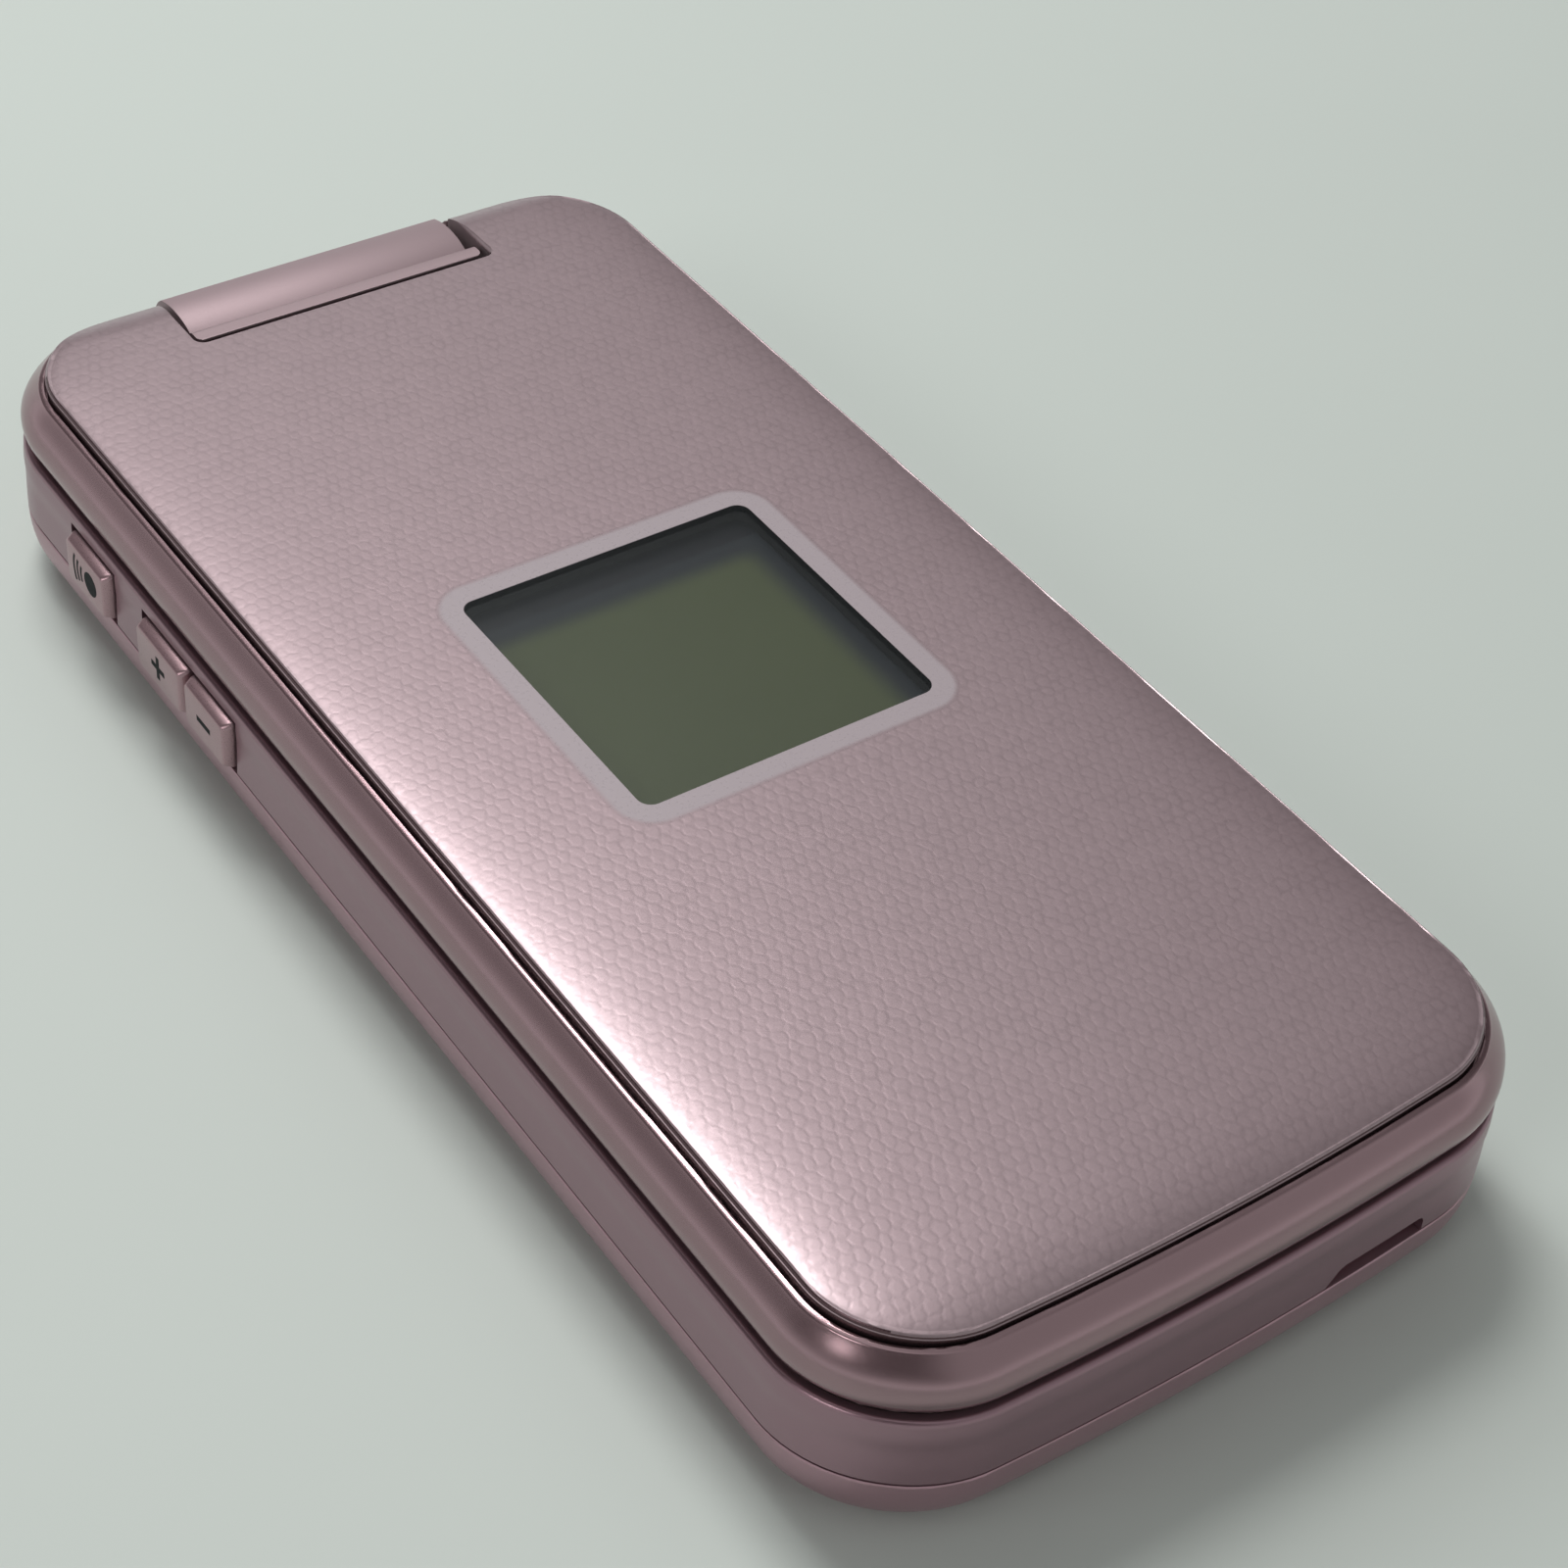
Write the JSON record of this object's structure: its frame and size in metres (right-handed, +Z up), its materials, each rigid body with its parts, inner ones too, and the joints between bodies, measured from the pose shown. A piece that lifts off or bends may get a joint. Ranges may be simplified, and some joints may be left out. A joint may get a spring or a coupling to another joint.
{
  "type": "flip phone",
  "caption": "Folding mobile phone, closed: hinged lid with a patterned panel and a square outer display, keypad inside, side keys, and a battery cover that it rests on.",
  "frame": {"origin": "middle of the flat back of the battery cover, which the closed phone rests on", "axes": "+X across the width, away from the side keys; +Y along the length towards the hinge; +Z up through the closed lid"},
  "size_m": [0.0533, 0.1122, 0.0162],
  "materials": {
    "cover_paint": "satin rose metallic paint",
    "case_paint": "satin rose metallic paint",
    "deck_paint": "satin rose metallic paint",
    "hinge_paint": "satin rose metallic paint",
    "frame_paint": "satin rose metallic paint",
    "panel_paint": "pearl rose paint over a fine cell pattern",
    "key_paint": "satin rose metallic paint",
    "side_key_paint": "satin rose metallic paint",
    "steel": "plain",
    "screw_steel": "blackened",
    "film": "polyimide film",
    "cell": "wrapped cell",
    "gold": "gold plated",
    "board": "solder resist",
    "antenna_plastic": "moulded",
    "black_plastic": "moulded",
    "ceramic": "plain",
    "camera_glass": "clear over black",
    "window_clear": "clear with a pale border",
    "lcd": "unlit liquid crystal display",
    "inner_plastic": "dark satin",
    "black_window": "glossy",
    "main_lcd": "unlit liquid crystal display",
    "bumper_rubber": "matt"
  },
  "bodies": {
    "base": {"battery_cover": "cover_paint", "middle_case": "case_paint", "key_deck": "deck_paint", "hinge_cover": "hinge_paint", "hinge_click_unit": "steel", "hinge_flex": "film", "battery": "cell", "battery_contacts": "gold", "main_board": "board", "dome_sheet": "film", "antenna": "antenna_plastic", "loudspeaker": "black_plastic", "microphone": "ceramic", "vibration_motor": "steel", "camera_module": "black_plastic", "camera_window": "camera_glass", "card_socket": "steel", "usb_socket": "steel", "case_screws": "screw_steel"},
    "lid": {"lid_frame": "frame_paint", "lid_panel": "panel_paint", "sub_window": "window_clear", "sub_display": "lcd", "lid_inner_case": "inner_plastic", "main_window": "black_window", "main_display": "main_lcd", "lid_board": "board", "earpiece": "black_plastic", "lid_magnet": "steel", "lid_bumpers": "bumper_rubber", "lid_screws": "screw_steel", "hinge_drive_shaft": "steel", "hinge_pivot_bush": "steel"},
    "port_cover": {"port_cover": "case_paint"},
    "key_1": {"key_1": "key_paint"},
    "key_2": {"key_2": "key_paint"},
    "key_3": {"key_3": "key_paint"},
    "key_4": {"key_4": "key_paint"},
    "key_5": {"key_5": "key_paint"},
    "key_6": {"key_6": "key_paint"},
    "key_7": {"key_7": "key_paint"},
    "key_8": {"key_8": "key_paint"},
    "key_9": {"key_9": "key_paint"},
    "key_star": {"key_star": "key_paint"},
    "key_0": {"key_0": "key_paint"},
    "key_hash": {"key_hash": "key_paint"},
    "key_call": {"key_call": "key_paint"},
    "key_clear": {"key_clear": "key_paint"},
    "key_end": {"key_end": "key_paint"},
    "navigation_ring": {"navigation_ring": "key_paint"},
    "centre_key": {"centre_key": "key_paint"},
    "soft_key_1": {"soft_key_1": "key_paint"},
    "soft_key_2": {"soft_key_2": "key_paint"},
    "soft_key_3": {"soft_key_3": "key_paint"},
    "soft_key_4": {"soft_key_4": "key_paint"},
    "voice_key": {"voice_key": "side_key_paint"},
    "volume_up_key": {"volume_up_key": "side_key_paint"},
    "volume_down_key": {"volume_down_key": "side_key_paint"}
  },
  "joints": [
    {"name": "lid_hinge", "type": "hinge", "parent": "base", "child": "lid", "pos_m": [0, 0.05105, 0.0107], "axis": [-1, 0, 0], "range_deg": [0, 160]},
    {"name": "port_cover_hinge", "type": "hinge", "parent": "base", "child": "port_cover", "pos_m": [0.02585, 0.0327, 0.00755], "axis": [0, 0, 1], "range_deg": [0, 95]},
    {"name": "key_1_press", "type": "slide", "parent": "base", "child": "key_1", "axis": [0, 0, -1], "range_m": [0, 0.00025], "stiffness_N_per_m": 1500, "springref_m": -0.00015},
    {"name": "key_2_press", "type": "slide", "parent": "base", "child": "key_2", "axis": [0, 0, -1], "range_m": [0, 0.00025], "stiffness_N_per_m": 1500, "springref_m": -0.00015},
    {"name": "key_3_press", "type": "slide", "parent": "base", "child": "key_3", "axis": [0, 0, -1], "range_m": [0, 0.00025], "stiffness_N_per_m": 1500, "springref_m": -0.00015},
    {"name": "key_4_press", "type": "slide", "parent": "base", "child": "key_4", "axis": [0, 0, -1], "range_m": [0, 0.00025], "stiffness_N_per_m": 1500, "springref_m": -0.00015},
    {"name": "key_5_press", "type": "slide", "parent": "base", "child": "key_5", "axis": [0, 0, -1], "range_m": [0, 0.00025], "stiffness_N_per_m": 1500, "springref_m": -0.00015},
    {"name": "key_6_press", "type": "slide", "parent": "base", "child": "key_6", "axis": [0, 0, -1], "range_m": [0, 0.00025], "stiffness_N_per_m": 1500, "springref_m": -0.00015},
    {"name": "key_7_press", "type": "slide", "parent": "base", "child": "key_7", "axis": [0, 0, -1], "range_m": [0, 0.00025], "stiffness_N_per_m": 1500, "springref_m": -0.00015},
    {"name": "key_8_press", "type": "slide", "parent": "base", "child": "key_8", "axis": [0, 0, -1], "range_m": [0, 0.00025], "stiffness_N_per_m": 1500, "springref_m": -0.00015},
    {"name": "key_9_press", "type": "slide", "parent": "base", "child": "key_9", "axis": [0, 0, -1], "range_m": [0, 0.00025], "stiffness_N_per_m": 1500, "springref_m": -0.00015},
    {"name": "key_star_press", "type": "slide", "parent": "base", "child": "key_star", "axis": [0, 0, -1], "range_m": [0, 0.00025], "stiffness_N_per_m": 1500, "springref_m": -0.00015},
    {"name": "key_0_press", "type": "slide", "parent": "base", "child": "key_0", "axis": [0, 0, -1], "range_m": [0, 0.00025], "stiffness_N_per_m": 1500, "springref_m": -0.00015},
    {"name": "key_hash_press", "type": "slide", "parent": "base", "child": "key_hash", "axis": [0, 0, -1], "range_m": [0, 0.00025], "stiffness_N_per_m": 1500, "springref_m": -0.00015},
    {"name": "key_call_press", "type": "slide", "parent": "base", "child": "key_call", "axis": [0, 0, -1], "range_m": [0, 0.00025], "stiffness_N_per_m": 1500, "springref_m": -0.00015},
    {"name": "key_clear_press", "type": "slide", "parent": "base", "child": "key_clear", "axis": [0, 0, -1], "range_m": [0, 0.00025], "stiffness_N_per_m": 1500, "springref_m": -0.00015},
    {"name": "key_end_press", "type": "slide", "parent": "base", "child": "key_end", "axis": [0, 0, -1], "range_m": [0, 0.00025], "stiffness_N_per_m": 1500, "springref_m": -0.00015},
    {"name": "navigation_ring_press", "type": "slide", "parent": "base", "child": "navigation_ring", "axis": [0, 0, -1], "range_m": [0, 0.00025], "stiffness_N_per_m": 1500, "springref_m": -0.00015},
    {"name": "centre_key_press", "type": "slide", "parent": "base", "child": "centre_key", "axis": [0, 0, -1], "range_m": [0, 0.00025], "stiffness_N_per_m": 1500, "springref_m": -0.00015},
    {"name": "soft_key_1_press", "type": "slide", "parent": "base", "child": "soft_key_1", "axis": [0, 0, -1], "range_m": [0, 0.00025], "stiffness_N_per_m": 1500, "springref_m": -0.00015},
    {"name": "soft_key_2_press", "type": "slide", "parent": "base", "child": "soft_key_2", "axis": [0, 0, -1], "range_m": [0, 0.00025], "stiffness_N_per_m": 1500, "springref_m": -0.00015},
    {"name": "soft_key_3_press", "type": "slide", "parent": "base", "child": "soft_key_3", "axis": [0, 0, -1], "range_m": [0, 0.00025], "stiffness_N_per_m": 1500, "springref_m": -0.00015},
    {"name": "soft_key_4_press", "type": "slide", "parent": "base", "child": "soft_key_4", "axis": [0, 0, -1], "range_m": [0, 0.00025], "stiffness_N_per_m": 1500, "springref_m": -0.00015},
    {"name": "voice_key_press", "type": "slide", "parent": "base", "child": "voice_key", "axis": [1, 0, 0], "range_m": [0, 0.00025], "stiffness_N_per_m": 1500, "springref_m": -0.00015},
    {"name": "volume_up_key_press", "type": "slide", "parent": "base", "child": "volume_up_key", "axis": [1, 0, 0], "range_m": [0, 0.00025], "stiffness_N_per_m": 1500, "springref_m": -0.00015},
    {"name": "volume_down_key_press", "type": "slide", "parent": "base", "child": "volume_down_key", "axis": [1, 0, 0], "range_m": [0, 0.00025], "stiffness_N_per_m": 1500, "springref_m": -0.00015}
  ]
}
